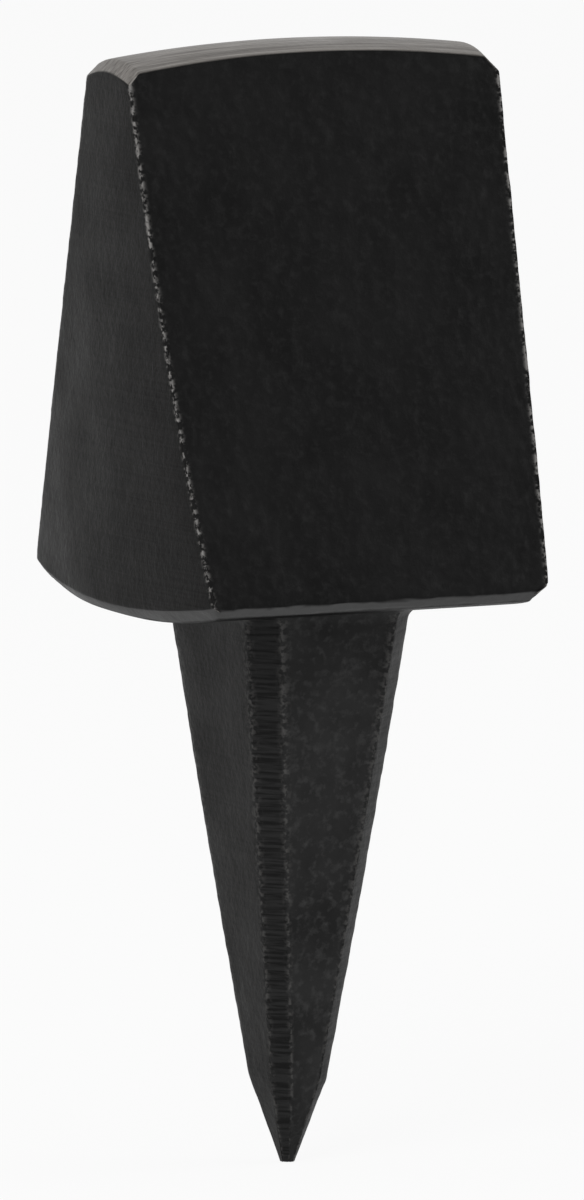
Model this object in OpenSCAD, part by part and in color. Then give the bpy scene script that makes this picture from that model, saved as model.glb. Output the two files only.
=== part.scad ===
// Scythe peening anvil: a wedge-shaped head with a crowned peening face,
// and a tapered spike under it that is driven into a wood block.
// The origin is in the middle of the shoulder, where the spike leaves the head.
// +Z is up, X runs along the peening face, -Y is the front.

/* [Head] */
// Width of the head across the middle of its two ground sides
head_w = 52.6; // [44:0.1:64]
// Height of the head from the shoulder to the corners of the peening face
head_h = 69.6; // [56:0.1:84]
// Thickness of the head at its base
base_t = 54.8; // [46:0.1:66]
// How far each side swells out between its base corners
side_swell = 2.7; // [1.2:0.1:5]
// How deep the front and the back are hollowed between base and face
flank_hollow = 0.9; // [0.3:0.05:2.5]

/* [Peening face] */
// Thickness of the head at the corners of the peening face
face_t = 12.4; // [9:0.1:17]
// Rise of the face along its length
crown_along = 1.8; // [0.8:0.1:3]
// Rise of the face across its thickness
crown_across = 1.15; // [0.4:0.05:1.8]
// Ground bevel at the left end of the face
end_bevel_left = 1.6; // [0.8:0.1:3]
// Ground bevel at the right end of the face
end_bevel_right = 2; // [0.8:0.1:3]

/* [Underside] */
// Depth of the flat band of the shoulder, which sits on the wood
shoulder_t = 12; // [6:0.5:24]
// How far the underside lifts towards the front and the back
shoulder_lift = 2.35; // [0.8:0.05:3.5]
// Height of the bevel along the lower front and back edges
foot_bevel_h = 1.9; // [0.8:0.1:3.5]
// Depth of that bevel along the underside
foot_bevel_t = 1.1; // [0.5:0.1:2.5]
// Bevel along the lower edge of the left side
side_bevel_left = 1.2; // [0.5:0.1:3]
// Bevel along the lower edge of the right side
side_bevel_right = 2; // [0.5:0.1:3]

/* [Spike] */
// Width of the spike at the shoulder
spike_w = 23.2; // [18:0.1:28]
// Thickness of the spike at the shoulder
spike_t = 30.2; // [22:0.1:36]
// Width of the spike where its point starts
neck_w = 7.9; // [5:0.1:12]
// Thickness of the spike where its point starts
neck_t = 11; // [7:0.1:15]
// Length of the shank from the shoulder to where the point starts
shank_l = 61.4; // [45:0.1:80]
// Length of the steeper point
point_l = 11; // [6:0.1:18]
// Width of the blunt tip
tip_w = 1.7; // [0.8:0.1:3]
// Thickness of the blunt tip
tip_t = 2.1; // [0.8:0.1:3]
// Corner chamfer of the spike at the shoulder
chamfer_top = 3.4; // [1.5:0.1:5]
// Corner chamfer of the spike where its point starts
chamfer_neck = 2.05; // [0.8:0.05:2.4]
// Corner chamfer of the tip
chamfer_tip = 0.6; // [0.1:0.05:0.7]
// Radius of the fillet between the spike and the shoulder
root_fillet = 1.2; // [0.5:0.1:2]
// How far the spike stands off the middle of the head
spike_offset = -0.35; // [-1.5:0.05:1.5]

/* [Hidden] */

black_paint = "#2a2a2e";
// Facets of the large arcs and of the small ones
large_fn = 720;
small_fn = 120;
// Reach of the cutting shapes beyond the steel
over = 6;

// Radius of the arc that rises by rise over the distance run from its crest
function arc_r(run, rise) = (run * run + rise * rise) / (2 * rise);
// How far an arc of radius r has fallen at the distance run from its crest
function arc_fall(r, run) = r - sqrt(r * r - run * run);

// Each side is part of an upright cylinder
side_r = arc_r(base_t / 2, side_swell);

// The front and the back are hollow arcs from the base edge to the face edge
flank_run = (base_t - face_t) / 2;
flank_rise = head_h - shoulder_lift;
flank_chord = norm([flank_run, flank_rise]);
flank_r = arc_r(flank_chord / 2, flank_hollow);
flank_out = (flank_r - flank_hollow) / flank_chord;
flank_y = (base_t + face_t) / 4 + flank_out * flank_rise;
flank_z = (head_h + shoulder_lift) / 2 + flank_out * flank_run;

// The underside is flat in the middle and lifts in an arc to front and back
lift_run = (base_t - shoulder_t) / 2;
lift_r = arc_r(lift_run, shoulder_lift);

// The peening face is crowned both ways, as part of a wide ring
along_r = arc_r(head_w / 2, crown_along);
across_r = arc_r(face_t / 2, crown_across);
face_top = head_h + crown_along + crown_across;
crown_depth = crown_along + crown_across + over;
// Where the cut for the crown starts, just below the corners of the face
crown_start = head_h - 1;

// The end bevels slope at 45 degrees and follow the crown across the face
end_r = arc_r(face_t / 2, (crown_across + arc_fall(side_r, face_t / 2)) / sqrt(2));

// The lower side bevels slope at 45 degrees and follow the swell and the lift
foot_r = arc_r(base_t / 2, (side_swell + shoulder_lift) / sqrt(2));

spike_l = shank_l + point_l;

// What the underside loses towards the front or the back
module lift_cut(side) {
    difference() {
        translate([side * (shoulder_t + lift_run + over) / 2, 0])
            square([lift_run + over, 4 * shoulder_lift], center = true);
        translate([side * shoulder_t / 2, lift_r])
            circle(r = lift_r, $fn = large_fn);
    }
}

// Side view of the head before its edges are bevelled, y across and z up
module side_outline() {
    difference() {
        translate([-base_t / 2, 0])
            square([base_t, face_top + over]);
        for (side = [-1, 1]) {
            translate([side * flank_y, flank_z])
                circle(r = flank_r, $fn = large_fn);
            lift_cut(side);
        }
    }
}

// Corner that the bevel takes off the lower front or back edge
module foot_cut(side) {
    edge_y = base_t / 2;
    slope = foot_bevel_h / foot_bevel_t;
    polygon([
        [side * (edge_y - foot_bevel_t - over), shoulder_lift - over * slope],
        [side * (edge_y + over), shoulder_lift + foot_bevel_h + over * slope],
        [side * (edge_y + over), shoulder_lift - over * slope]
    ]);
}

// Plan view of the head: two swelling sides
module plan_outline() {
    intersection_for (side = [-1, 1])
        translate([side * (side_r - head_w / 2), 0])
            circle(r = side_r, $fn = large_fn);
}

// Pulls a shape drawn in y and z out along the width of the head
module along_width() {
    rotate([90, 0, 90])
        linear_extrude(height = head_w + 2 * over, center = true)
            children();
}

// Ring whose outer crest is the crowned peening face
module crown_ring() {
    translate([0, 0, face_top - along_r])
        rotate([90, 0, 0])
            rotate_extrude($fn = large_fn)
                intersection() {
                    translate([along_r - across_r, 0])
                        circle(r = across_r, $fn = small_fn);
                    translate([along_r - crown_depth, -face_t])
                        square([crown_depth + over, 2 * face_t]);
                }
}

// What grinding the crown takes off the top of the head
module crown_waste() {
    difference() {
        translate([-head_w / 2 - over, -face_t, crown_start])
            cube([head_w + 2 * over, 2 * face_t, 2 * over]);
        crown_ring();
    }
}

// What a ground bevel takes off the right end of the face
module end_waste(bevel) {
    bevel_x = head_w / 2 - bevel;
    translate([bevel_x, 0, face_top - arc_fall(along_r, bevel_x)])
        rotate([0, 45, 0])
            difference() {
                translate([-over, -face_t, -over])
                    cube([2 * over, 2 * face_t, 2 * over]);
                translate([0, 0, -end_r])
                    rotate([0, 90, 0])
                        cylinder(r = end_r, h = 4 * over, center = true, $fn = small_fn);
            }
}

// What a bevel takes off the lower edge of the right side
module side_waste(bevel) {
    translate([head_w / 2 - bevel / 2, 0, bevel / 2])
        rotate([0, 135, 0])
            difference() {
                translate([-over, -base_t / 2, -over])
                    cube([2 * over, base_t, 2 * over]);
                translate([0, 0, -foot_r])
                    rotate([0, 90, 0])
                        cylinder(r = foot_r, h = 4 * over, center = true, $fn = large_fn);
            }
}

module head() {
    color(black_paint)
        difference() {
            intersection() {
                along_width()
                    difference() {
                        side_outline();
                        for (side = [-1, 1])
                            foot_cut(side);
                    }
                linear_extrude(height = face_top + over)
                    plan_outline();
            }
            crown_waste();
            end_waste(end_bevel_right);
            mirror([1, 0, 0])
                end_waste(end_bevel_left);
            side_waste(side_bevel_right);
            mirror([1, 0, 0])
                side_waste(side_bevel_left);
        }
}

// Half the distance across the corner chamfers of a w by t section
function corner_half(w, t, chamfer) = (w / 2 + t / 2 - chamfer) / sqrt(2);

// Tapered bar seen from one side, with the fillet at its root
module taper(top, neck, tip) {
    waist = top - (top - neck) * root_fillet / shank_l;
    root = waist + root_fillet;
    difference() {
        polygon([
            [-root, shoulder_lift], [root, shoulder_lift],
            [root, -root_fillet], [waist, -root_fillet],
            [neck, -shank_l], [tip, -spike_l],
            [-tip, -spike_l], [-neck, -shank_l],
            [-waist, -root_fillet], [-root, -root_fillet]
        ]);
        for (side = [-1, 1])
            translate([side * root, -root_fillet])
                circle(r = root_fillet, $fn = small_fn);
    }
}

// The same bar, endless in the direction it is seen from
module taper_slab(turn, top, neck, tip) {
    rotate([90, 0, turn])
        linear_extrude(height = 4 * spike_t, center = true)
            taper(top, neck, tip);
}

// Chamfered four-sided spike, its top shaped to the underside of the head
module spike() {
    color(black_paint)
        difference() {
            translate([spike_offset, 0, 0])
                intersection() {
                    taper_slab(0, spike_w / 2, neck_w / 2, tip_w / 2);
                    taper_slab(90, spike_t / 2, neck_t / 2, tip_t / 2);
                    intersection_for (turn = [-45, 45])
                        taper_slab(
                            turn,
                            corner_half(spike_w, spike_t, chamfer_top),
                            corner_half(neck_w, neck_t, chamfer_neck),
                            corner_half(tip_w, tip_t, chamfer_tip)
                        );
                }
            along_width()
                side_outline();
        }
}

head();
spike();
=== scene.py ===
import math

import bpy
import numpy as np
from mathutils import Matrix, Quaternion, Vector, noise


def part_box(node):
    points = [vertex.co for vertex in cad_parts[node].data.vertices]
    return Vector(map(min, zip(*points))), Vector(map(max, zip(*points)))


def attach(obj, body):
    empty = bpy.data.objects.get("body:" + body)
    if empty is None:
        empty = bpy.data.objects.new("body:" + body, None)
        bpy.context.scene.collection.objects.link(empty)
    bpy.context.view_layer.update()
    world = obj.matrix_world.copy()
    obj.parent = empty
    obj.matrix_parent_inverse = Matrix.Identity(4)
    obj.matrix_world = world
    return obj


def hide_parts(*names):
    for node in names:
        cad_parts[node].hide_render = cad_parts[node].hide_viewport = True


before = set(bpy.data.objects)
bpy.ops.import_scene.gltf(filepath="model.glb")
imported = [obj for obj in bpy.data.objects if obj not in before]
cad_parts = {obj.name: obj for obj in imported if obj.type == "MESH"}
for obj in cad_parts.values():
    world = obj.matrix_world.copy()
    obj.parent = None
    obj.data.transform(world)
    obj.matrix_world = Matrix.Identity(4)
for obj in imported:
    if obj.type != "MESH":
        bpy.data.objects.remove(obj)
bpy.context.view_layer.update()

MM_IN_M = 1000


def box_mm(node):
    """Lowest and highest corner of a solid, in millimetres."""
    return [np.array(corner) * MM_IN_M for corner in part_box(node)]


def arc_r(run, rise):
    """Radius of the arc that rises by rise over the distance run from its crest."""
    return (run * run + rise * rise) / (2 * rise)


def arc_fall(r, run):
    """How far an arc of radius r has fallen at the distance run from its crest."""
    return r - np.sqrt(r * r - run * run)


# The head in millimetres, as its solid has it. Its width and its height come from the frame
HEAD_LOW, HEAD_HIGH = box_mm("head")
HEAD_W = 2 * HEAD_HIGH[0]
FACE_TOP = HEAD_HIGH[2]
BASE_T = 54.8
FACE_T = 12.4
SIDE_SWELL = 2.7
FLANK_HOLLOW = 0.9
CROWN_ALONG = 1.8
CROWN_ACROSS = 1.15
SHOULDER_T = 12.0
SHOULDER_LIFT = 2.35
# Height and depth of the bevel along the lower front and back edges
FOOT_H = 1.9
FOOT_T = 1.1
# Bevels at the left end, -1, and at the right end, 1: of the face, and of the lower side edge
END_BEVELS = {-1: 1.6, 1: 2.0}
SIDE_BEVELS = {-1: 1.2, 1: 2.0}

HEAD_H = FACE_TOP - CROWN_ALONG - CROWN_ACROSS
SIDE_R = arc_r(BASE_T / 2, SIDE_SWELL)
LIFT_R = arc_r((BASE_T - SHOULDER_T) / 2, SHOULDER_LIFT)
ALONG_R = arc_r(HEAD_W / 2, CROWN_ALONG)
ACROSS_R = arc_r(FACE_T / 2, CROWN_ACROSS)
END_R = arc_r(FACE_T / 2, (CROWN_ACROSS + arc_fall(SIDE_R, FACE_T / 2)) / math.sqrt(2))
FOOT_R = arc_r(BASE_T / 2, (SIDE_SWELL + SHOULDER_LIFT) / math.sqrt(2))

# The front and the back are hollow arcs from the base edge to the face edge
FLANK_RUN = (BASE_T - FACE_T) / 2
FLANK_RISE = HEAD_H - SHOULDER_LIFT
FLANK_CHORD = math.hypot(FLANK_RUN, FLANK_RISE)
FLANK_R = arc_r(FLANK_CHORD / 2, FLANK_HOLLOW)
FLANK_OUT = (FLANK_R - FLANK_HOLLOW) / FLANK_CHORD
FLANK_Y = (BASE_T + FACE_T) / 4 + FLANK_OUT * FLANK_RISE
FLANK_Z = (HEAD_H + SHOULDER_LIFT) / 2 + FLANK_OUT * FLANK_RUN

# The spike in millimetres. The stations are the depths of its root, of the start of its point and of
# its tip, and its half width, half thickness and corner chamfer are given at each of them
SPIKE_LOW, SPIKE_HIGH = box_mm("spike")
SHANK_L = 61.4
SPIKE_L = -SPIKE_LOW[2]
STATIONS = [0, SHANK_L, SPIKE_L]
HALF_W = (11.6, 3.95, 0.85)
HALF_T = (15.1, 5.5, 1.05)
CHAMFER = (3.4, 2.05, 0.6)
ROOT_FILLET = 1.2
SPIKE_OFFSET = -0.35
# How far the top of the spike reaches into the head, so that no slit shows there
ROOT_INSET = 0.4

# Share of bare metal in the brightest flecks along an edge
EDGE_METAL = 0.7


def underside(y):
    """Height of the underside, which is flat in the middle and lifts to the front and the back."""
    return arc_fall(LIFT_R, np.maximum(np.abs(y) - SHOULDER_T / 2, 0))


def flank(z):
    """Distance of the front and the back from the middle, at a height."""
    return FLANK_Y - np.sqrt(FLANK_R**2 - (z - FLANK_Z) ** 2)


def side(y):
    """Distance of the two sides from the middle."""
    return HEAD_W / 2 - arc_fall(SIDE_R, y)


def crown(x, y):
    """Height of the peening face, which is part of a wide ring."""
    inner = ALONG_R - arc_fall(ACROSS_R, y)
    return FACE_TOP - ALONG_R + np.sqrt(inner**2 - x * x)


def smooth(low, high, value):
    """0 below low and 1 above high, with a smooth step between them."""
    t = np.clip((value - low) / (high - low), 0, 1)
    return t * t * (3 - 2 * t)


def grain(points, size, seed, octaves=3):
    """Smooth noise of about -1 to 1, with features of that size in millimetres."""
    shift = Vector((seed * 17.3, seed * 5.1, seed * 9.7))
    return np.array([noise.fractal(Vector(p) / size + shift, 1.0, 2.0, octaves) for p in points])


def make_piece(name, points, faces, masks):
    """Mesh object from points in millimetres, with one attribute for each mask."""
    mesh = bpy.data.meshes.new(name)
    mesh.from_pydata((points / MM_IN_M).tolist(), [], faces)
    mesh.update()
    mesh.shade_smooth()
    for key, values in masks.items():
        attribute = mesh.attributes.new(key, "FLOAT", "POINT")
        attribute.data.foreach_set("value", values.astype(np.float32))
    piece = bpy.data.objects.new(name, mesh)
    bpy.context.scene.collection.objects.link(piece)
    return piece


def normals_of(points, faces):
    """Outward direction at each point of a mesh."""
    mesh = bpy.data.meshes.new("scratch")
    mesh.from_pydata((points / MM_IN_M).tolist(), [], faces)
    mesh.update()
    found = np.empty(len(points) * 3, np.float32)
    mesh.vertices.foreach_get("normal", found)
    bpy.data.meshes.remove(mesh)
    return found.reshape(-1, 3).astype(float)


def box_grid(nx, ny, nz):
    """Points from -1 to 1 and outward quads of a cube's surface, with shared edges."""
    surface = np.ones((nx + 1, ny + 1, nz + 1), bool)
    surface[1:-1, 1:-1, 1:-1] = False
    ids = np.full(surface.shape, -1)
    ids[surface] = np.arange(surface.sum())
    sheets = [
        (ids[-1], False), (ids[0], True),
        (ids[:, -1], True), (ids[:, 0], False),
        (ids[:, :, -1], False), (ids[:, :, 0], True),
    ]
    faces = []
    for a, flip in sheets:
        quads = np.stack([a[:-1, :-1], a[1:, :-1], a[1:, 1:], a[:-1, 1:]], -1).reshape(-1, 4)
        faces.append(quads[:, ::-1] if flip else quads)
    return np.argwhere(surface) / [nx, ny, nz] * 2 - 1, np.concatenate(faces).tolist()


def shave(points, depth, direction, softness):
    """Takes off what stands out by depth along a direction, with a soft edge."""
    n = np.array(direction) / np.linalg.norm(direction)
    cut = (depth + np.sqrt(depth**2 + softness**2)) / 2
    return points - n * cut[:, None]


def head_points(grid):
    """The head with sharp edges, from the points of a cube's surface."""
    edge_crowding, passes = 0.5, 4
    u, v, w = (grid + edge_crowding * np.sin(np.pi * grid) / np.pi).T
    x = u * HEAD_W / 2
    top = np.full(len(u), FACE_TOP)
    # Height, front and sides depend on each other, so each pass fits them again
    for _ in range(passes):
        top = crown(np.clip(x, -HEAD_W / 2, HEAD_W / 2), v * flank(top))
        low = underside(v * BASE_T / 2)
        z = low + (top - low) * (w + 1) / 2
        y = v * flank(z)
        x = u * side(y)
    return np.stack([x, y, z], -1)


def bevel_end(p, end):
    """Grinds the bevel at one end of the face, which follows the crown across it."""
    softness = 0.12
    start = HEAD_W / 2 - END_BEVELS[end]
    run = end * p[:, 0] - start
    rise = p[:, 2] - crown(start, 0.0)
    near = np.clip(p[:, 1], -FACE_T / 2, FACE_T / 2)
    depth = (run + rise) / math.sqrt(2) + arc_fall(END_R, near)
    return shave(p, depth, (end, 0.0, 1.0), softness)


def bevel_side(p, end):
    """Bevels the lower edge of one side, which follows the swell and the lift."""
    softness = 0.25
    middle = SIDE_BEVELS[end] / 2
    run = end * p[:, 0] - HEAD_W / 2 + middle
    drop = middle - p[:, 2]
    near = np.clip(p[:, 1], -BASE_T / 2, BASE_T / 2)
    depth = (run + drop) / math.sqrt(2) + arc_fall(FOOT_R, near)
    return shave(p, depth, (end, 0.0, -1.0), softness)


def bevel_foot(p, face):
    """Bevels the lower front or back edge, a little unevenly."""
    unevenness, softness = 0.12, 0.5
    run = face * p[:, 1] - BASE_T / 2 + FOOT_T
    depth = (run * FOOT_H - (p[:, 2] - SHOULDER_LIFT) * FOOT_T) / math.hypot(FOOT_H, FOOT_T)
    depth = depth + unevenness * grain(p, size=4.0, seed=2)
    return shave(p, depth, (0.0, face * FOOT_H, -FOOT_T), softness)


def wear_edge(p, face, end, wear):
    """Wears the upright edge between one side and the front or the back."""
    softness = 0.25
    y_edge = flank(p[:, 2])
    depth = (end * p[:, 0] - side(y_edge) + face * p[:, 1] - y_edge) / math.sqrt(2)
    return shave(p, depth + wear, (end, face, 0.0), softness)


def head_masks(p, n):
    """Where each finish of the head lies, and the downward-facing faces that carry painted light, from
    the place and the direction of each point.
    """
    edge_width = 0.42
    # A part of a direction is 1 where the surface faces straight along that axis
    bare = smooth(0.5, 0.62, n[:, 2])
    sides = smooth(0.75, 0.92, np.abs(n[:, 0])) * (1 - bare)
    # Faces that look down: the lower bevels, which get rough relief here and painted light from below in
    # the head's colour
    lower = smooth(0.2, 0.42, -n[:, 2]) * (1 - smooth(0.85, 0.97, -n[:, 2]))
    y_edge = flank(np.clip(p[:, 2], 0, FACE_TOP))
    gap = np.hypot(np.abs(p[:, 0]) - side(y_edge), np.abs(p[:, 1]) - y_edge)
    edge = np.exp(-((gap / edge_width) ** 2)) * (1 - bare)
    return {"bare": bare, "machined": sides, "lower": lower, "edge": edge}


def head_relief(p, n, masks):
    """How far each point moves outwards: the forged skin is uneven and a little set in."""
    set_in, side_relief, lower_share = 0.16, 0.015, 0.6
    flanks = smooth(0.7, 0.9, np.abs(n[:, 1])) * (1 - masks["bare"])
    rough = np.clip(flanks + lower_share * masks["lower"], 0, 1)
    forged = 0.16 * grain(p, size=6.0, seed=3) + 0.1 * grain(p, size=1.7, seed=4)
    forged = forged + 0.045 * grain(p, size=0.8, seed=5, octaves=2)
    ground = masks["machined"] * side_relief * (1 + grain(p, size=2.0, seed=6))
    return rough * (forged - set_in) - ground


def make_head():
    even_wear, uneven_wear = 0.02, 0.12
    grid, faces = box_grid(nx=140, ny=104, nz=176)
    p = head_points(grid)
    wear = even_wear + uneven_wear * grain(p, size=2.5, seed=1)
    for end in (-1, 1):
        p = bevel_side(bevel_end(p, end), end)
    for face in (-1, 1):
        p = bevel_foot(p, face)
        for end in (-1, 1):
            p = wear_edge(p, face, end, wear)
    n = normals_of(p, faces)
    masks = head_masks(p, n)
    p = p + n * head_relief(p, n, masks)[:, None]
    return make_piece("forged_head", np.clip(p, HEAD_LOW, HEAD_HIGH), faces, masks)


def ring_shares():
    """Places round an eight-sided section, as a corner number plus a share to the next."""
    steps_flat, steps_chamfer = 22, 8
    counts = [steps_flat, steps_chamfer] * 4
    return np.concatenate([k + np.arange(c) / c for k, c in enumerate(counts)])


def spike_corners(depth):
    """The eight corners of the spike's section at a depth below the shoulder."""
    swell_middle = 0.14
    hw, ht, c = (np.interp(depth, STATIONS, values) for values in (HALF_W, HALF_T, CHAMFER))
    swell = swell_middle * math.sin(math.pi * min(depth / SHANK_L, 1))
    flare = arc_fall(ROOT_FILLET, ROOT_FILLET - depth) if depth < ROOT_FILLET else 0.0
    hw, ht = hw + swell + flare, ht + swell + flare
    return np.array([
        [-hw + c, -ht], [hw - c, -ht], [hw, -ht + c], [hw, ht - c],
        [hw - c, ht], [-hw + c, ht], [-hw, ht - c], [-hw, -ht + c],
    ])


def spike_points(shares, levels):
    """The spike's rings from top to bottom, and then the middles of its two ends."""
    # The rings follow the curved underside at the root, and are level from this depth down
    level_from = 2.5
    corner, share = np.floor(shares).astype(int), (shares % 1)[:, None]
    rows = []
    for depth in levels:
        corners = spike_corners(depth)
        x, y = (corners[corner] * (1 - share) + corners[(corner + 1) % 8] * share).T
        top = underside(y) * (1 - smooth(0, level_from, depth)) + (ROOT_INSET if depth == 0 else 0)
        rows.append(np.column_stack([x + SPIKE_OFFSET, y, top - depth]))
    ends = [[SPIKE_OFFSET, 0, ROOT_INSET], [SPIKE_OFFSET, 0, -SPIKE_L]]
    return np.concatenate(rows + [ends])


def spike_faces(count, rings):
    """Quads between rings of count points each, closed by a fan at both ends."""
    last = rings - 1
    top_middle, tip_middle = rings * count, rings * count + 1
    faces = []
    for j in range(count):
        nxt = (j + 1) % count
        faces += [
            [r * count + j, (r + 1) * count + j, (r + 1) * count + nxt, r * count + nxt]
            for r in range(last)
        ]
        faces.append([j, nxt, top_middle])
        faces.append([last * count + nxt, last * count + j, tip_middle])
    return faces


def spike_relief(p, broad, chamfers, edge):
    """How far each point moves outwards: forged front and back, chatter marks on the chamfers."""
    forged_set_in, chamfer_set_in = 0.12, 0.03
    chatter_height, chatter_pace, chatter_drift = 0.025, 5.2, 2.5
    narrow_relief, edge_wear = 0.02, 0.06
    narrow = (1 - broad) * (1 - chamfers)
    drift = chatter_drift * grain(p, size=2.5, seed=7, octaves=2)
    chatter = np.sin(p[:, 2] * chatter_pace + drift)
    forged = 0.14 * grain(p, size=4.5, seed=8) + 0.08 * grain(p, size=1.4, seed=9)
    relief = broad * (forged - forged_set_in)
    relief = relief + chamfers * (chatter_height * chatter - chamfer_set_in)
    relief = relief + narrow * narrow_relief * grain(p, size=2.0, seed=10)
    relief = relief - edge_wear * edge * (1 + grain(p, size=2.0, seed=11))
    below_root = smooth(0.2, 1.5, -p[:, 2])
    return relief * below_root


def make_spike():
    root_end, root_steps, shank_steps = 3, 16, 200
    flat_edge_width, chamfer_edge_width = 0.05, 0.12
    shares = ring_shares()
    root_levels = np.linspace(0, root_end, root_steps)[:-1]
    levels = np.concatenate([root_levels, np.linspace(root_end, SPIKE_L, shank_steps)])
    p = spike_points(shares, levels)
    faces = spike_faces(len(shares), len(levels))
    n = normals_of(p, faces)
    where = np.concatenate([np.tile(shares, len(levels)), [0, 0]])
    flat = (where % 2 < 1).astype(float)
    chamfers = 1 - flat
    broad = ((where < 1) | ((where >= 4) & (where < 5))).astype(float)
    to_corner = np.minimum(where % 1, 1 - where % 1)
    flat_edge = np.exp(-((to_corner / flat_edge_width) ** 2))
    chamfer_edge = np.exp(-((to_corner / chamfer_edge_width) ** 2))
    edge = flat_edge * flat + chamfer_edge * chamfers
    p = p + n * spike_relief(p, broad, chamfers, edge)[:, None]
    masks = {"machined": (1 - broad) * flat, "chamfer": chamfers, "edge": edge}
    return make_piece("forged_spike", np.clip(p, SPIKE_LOW, SPIKE_HIGH), faces, masks)


def grey(value, warm=0.0):
    """A grey of that brightness, a little red where warm is above 0."""
    return (value * (1 + warm), value, value * (1 - warm), 1.0)


class Nodes:
    """Short way to write a material's node tree."""

    def __init__(self, name):
        self.material = bpy.data.materials.new(name)
        self.material.use_nodes = True
        self.tree = self.material.node_tree
        self.shader = self.tree.nodes["Principled BSDF"]
        self.place = self.tree.nodes.new("ShaderNodeTexCoord").outputs["Object"]

    def put(self, socket, value):
        if isinstance(value, bpy.types.NodeSocket):
            self.tree.links.new(value, socket)
        else:
            socket.default_value = value

    def mask(self, name):
        node = self.tree.nodes.new("ShaderNodeAttribute")
        node.attribute_name = name
        return node.outputs["Fac"]

    def noise(self, stretch, detail=4.0, roughness=0.6):
        """Noise with stretch features in each metre along X, Y and Z."""
        mapping = self.tree.nodes.new("ShaderNodeMapping")
        mapping.inputs["Scale"].default_value = stretch
        self.put(mapping.inputs["Vector"], self.place)
        node = self.tree.nodes.new("ShaderNodeTexNoise")
        self.put(node.inputs["Vector"], mapping.outputs["Vector"])
        node.inputs["Scale"].default_value = 1.0
        node.inputs["Detail"].default_value = detail
        node.inputs["Roughness"].default_value = roughness
        return node.outputs["Fac"]

    def math(self, operation, a, b=0.0):
        node = self.tree.nodes.new("ShaderNodeMath")
        node.operation = operation
        self.put(node.inputs[0], a)
        self.put(node.inputs[1], b)
        return node.outputs[0]

    def ramp(self, value, low, high, out_low=0.0, out_high=1.0):
        node = self.tree.nodes.new("ShaderNodeMapRange")
        self.put(node.inputs["Value"], value)
        limits = {"From Min": low, "From Max": high, "To Min": out_low, "To Max": out_high}
        for name, number in limits.items():
            node.inputs[name].default_value = number
        return node.outputs["Result"]

    def mix(self, share, a, b):
        node = self.tree.nodes.new("ShaderNodeMix")
        node.data_type = "RGBA"
        for index, value in ((0, share), (6, a), (7, b)):
            self.put(node.inputs[index], value)
        return node.outputs[2]


class BlackSteel(Nodes):
    """Forged steel with a thin black skin, whose machined sides have fine level lines."""

    def __init__(self, name, painted_light_gain):
        super().__init__(name)
        self.pits = self.noise((900, 900, 900), detail=5.0)
        self.blotches = self.noise((90, 90, 90))
        lines = self.noise((60, 60, 4200), detail=3.0)
        flecks = self.noise((1500, 1500, 1500), detail=2.0)
        # The gain scales the skin's greys, which paints light onto the whole skin; at 1 it adds none
        dark, light, pit = (grey(value * painted_light_gain) for value in (0.003, 0.0065, 0.011))
        skin = self.mix(self.ramp(self.blotches, 0.35, 0.65), dark, light)
        skin = self.mix(self.ramp(self.pits, 0.5, 0.75), skin, pit)
        satin = self.mix(self.ramp(lines, 0.35, 0.65), grey(0.004, 0.03), grey(0.009, 0.03))
        self.colour = self.mix(self.mask("machined"), skin, satin)
        self.worn = self.math("MULTIPLY", self.mask("edge"), self.ramp(flecks, 0.47, 0.6))

    def finish(self, metal, texture):
        """Sets the shader from the colour so far, the share of bare metal and a texture."""
        relief_m, pits_share, texture_share = 0.00012, 0.9, 0.2
        texture = self.math("MULTIPLY", texture, texture_share)
        height = self.math("ADD", self.math("MULTIPLY", self.pits, pits_share), texture)
        roughness = self.ramp(self.blotches, 0.3, 0.7, out_low=0.42, out_high=0.58)
        bump = self.tree.nodes.new("ShaderNodeBump")
        bump.inputs["Distance"].default_value = relief_m
        self.put(bump.inputs["Height"], height)
        self.put(self.shader.inputs["Normal"], bump.outputs["Normal"])
        self.put(self.shader.inputs["Base Color"], self.colour)
        self.put(self.shader.inputs["Metallic"], metal)
        self.put(self.shader.inputs["Roughness"], roughness)
        self.shader.inputs["Specular IOR Level"].default_value = 0.08
        return self.material


def head_material():
    """Painted light on the downward-facing lower bevels, bright flecks along the edges, and a ground
    face with its grain.
    """
    m = BlackSteel("forged_head_steel", painted_light_gain=1.0)
    bare = m.mask("bare")
    # The lighter grey on the lower bevels is painted light, standing for light thrown up from below onto
    # faces that look down
    painted_underside_light, bright_edge = grey(0.075), grey(0.24, 0.03)
    m.colour = m.mix(m.mask("lower"), m.colour, painted_underside_light)
    m.colour = m.mix(m.worn, m.colour, bright_edge)
    ground = m.noise((45, 3600, 900), detail=3.0)
    ground_colour = m.mix(m.ramp(ground, 0.3, 0.7), grey(0.08, 0.08), grey(0.26, 0.06))
    m.colour = m.mix(bare, m.colour, ground_colour)
    metal = m.math("MAXIMUM", bare, m.math("MULTIPLY", m.worn, EDGE_METAL))
    return m.finish(metal, ground)


def spike_material():
    """Forged skin made lighter as painted light from below on its downward-slanting faces, dark chamfers
    with chatter marks, and faint worn edges.
    """
    # Four times the head's skin: the same black skin made lighter as painted light, for the light from
    # below that the spike's downward-slanting faces catch
    m = BlackSteel("forged_spike_steel", painted_light_gain=4.0)
    faint, dull_edge = 0.25, grey(0.2, 0.03)
    chatter = m.noise((150, 150, 2600), detail=3.0)
    marks = m.mix(m.ramp(chatter, 0.4, 0.6), grey(0.006), grey(0.02))
    m.colour = m.mix(m.mask("chamfer"), m.colour, marks)
    worn = m.math("MULTIPLY", m.worn, faint)
    m.colour = m.mix(worn, m.colour, dull_edge)
    return m.finish(m.math("MULTIPLY", worn, EDGE_METAL), chatter)


def dress(piece, node, material):
    """Puts a finished piece in the place of a solid."""
    piece.data.materials.append(material)
    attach(piece, "root")
    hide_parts(node)


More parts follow.
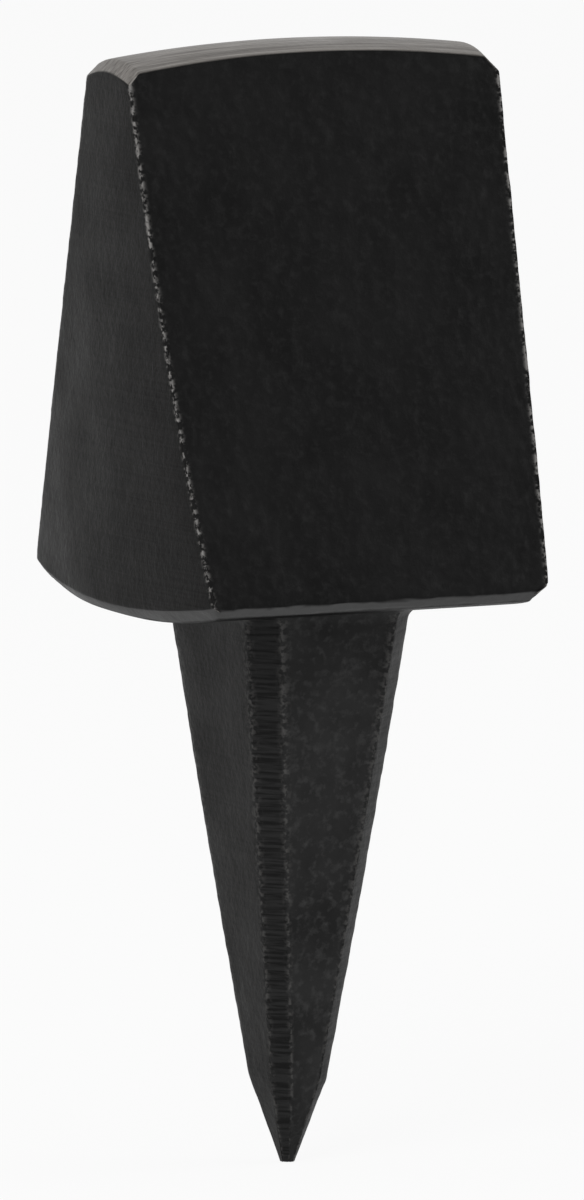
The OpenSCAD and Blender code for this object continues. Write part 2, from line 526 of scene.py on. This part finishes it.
def show_backdrop(tree, lit, shown, amount, output):
    """Mixes in a shader for camera, glossy and transmission rays alone, by that amount."""
    path = tree.nodes.new("ShaderNodeLightPath")
    share = path.outputs["Is Camera Ray"]
    for name in ("Is Glossy Ray", "Is Transmission Ray"):
        either = tree.nodes.new("ShaderNodeMath")
        either.operation = "MAXIMUM"
        tree.links.new(share, either.inputs[0])
        tree.links.new(path.outputs[name], either.inputs[1])
        share = either.outputs[0]
    scaled = tree.nodes.new("ShaderNodeMath")
    scaled.operation = "MULTIPLY"
    tree.links.new(share, scaled.inputs[0])
    scaled.inputs[1].default_value = amount
    blend = tree.nodes.new("ShaderNodeMixShader")
    tree.links.new(scaled.outputs[0], blend.inputs["Fac"])
    tree.links.new(lit, blend.inputs[1])
    tree.links.new(shown, blend.inputs[2])
    tree.links.new(blend.outputs["Shader"], tree.nodes[output].inputs["Surface"])


def make_floor():
    """Pale floor at the tip of the spike, mostly plain white to the eye, with a faint shadow."""
    reach = 30.0
    glow_share = 0.9
    level = SPIKE_LOW[2] / MM_IN_M
    corners = ((-1, -1), (1, -1), (1, 1), (-1, 1))
    mesh = bpy.data.meshes.new("floor")
    mesh.from_pydata([(x * reach, y * reach, level) for x, y in corners], [], [(0, 1, 2, 3)])
    floor = bpy.data.objects.new("floor", mesh)
    bpy.context.scene.collection.objects.link(floor)
    material = bpy.data.materials.new("pale_floor")
    material.use_nodes = True
    tree = material.node_tree
    diffuse = tree.nodes["Principled BSDF"]
    diffuse.inputs["Base Color"].default_value = grey(0.85)
    diffuse.inputs["Roughness"].default_value = 0.9
    diffuse.inputs["Specular IOR Level"].default_value = 0.0
    glow = tree.nodes.new("ShaderNodeEmission")
    glow.inputs["Color"].default_value = grey(1.0)
    show_backdrop(tree, diffuse.outputs["BSDF"], glow.outputs["Emission"], glow_share, "Material Output")
    mesh.materials.append(material)


def make_world():
    """Even grey light, with a white backdrop."""
    world = bpy.data.worlds.new("studio")
    world.use_nodes = True
    tree = world.node_tree
    light = tree.nodes["Background"]
    light.inputs["Color"].default_value = grey(0.55)
    backdrop = tree.nodes.new("ShaderNodeBackground")
    backdrop.inputs["Color"].default_value = grey(1.0)
    show_backdrop(tree, light.outputs["Background"], backdrop.outputs["Background"], 1.0, "World Output")
    bpy.context.scene.world = world


def make_lamp(name, place, size, power):
    """Square soft lamp that faces the object, in metres and watts."""
    lamp = bpy.data.lights.new(name, "AREA")
    lamp.shape = "SQUARE"
    lamp.size = size
    lamp.energy = power
    thing = bpy.data.objects.new(name, lamp)
    thing.location = place
    thing.rotation_mode = "QUATERNION"
    thing.rotation_quaternion = (-Vector(place)).to_track_quat("-Z", "Y")
    bpy.context.scene.collection.objects.link(thing)


def make_camera():
    """Camera at the photograph's angle, aimed so that the frame falls as it does there."""
    turn, lift, roll = (math.radians(angle) for angle in (-25.43, 7.58, 0.17))
    # Much further off, the other views would stand too far back to show the object
    distance = 3.0
    seen_height = 0.1536
    right_of_origin, above_origin = 0.00007, 0.00025
    level = math.cos(lift)
    back = Vector((math.sin(turn) * level, -math.cos(turn) * level, math.sin(lift)))
    look = (-back).to_track_quat("-Z", "Y") @ Quaternion((0, 0, 1), roll)
    data = bpy.data.cameras.new("camera")
    # The frame is upright, so the sensor's longer side spans its height
    data.lens = data.sensor_width * distance / seen_height
    data.clip_start, data.clip_end = 0.1, 100
    camera = bpy.data.objects.new("camera", data)
    camera.rotation_mode = "QUATERNION"
    camera.rotation_quaternion = look
    camera.location = back * distance + look @ Vector((right_of_origin, above_origin, 0))
    bpy.context.scene.collection.objects.link(camera)
    bpy.context.scene.camera = camera


bpy.context.scene.view_settings.view_transform = "Standard"
make_camera()
make_world()
make_floor()
make_lamp("key_lamp", place=(-1.1, -0.9, 1.0), size=0.9, power=9.0)
make_lamp("side_lamp", place=(1.2, -0.3, 0.4), size=0.8, power=5.0)
dress(make_head(), "head", head_material())
dress(make_spike(), "spike", spike_material())
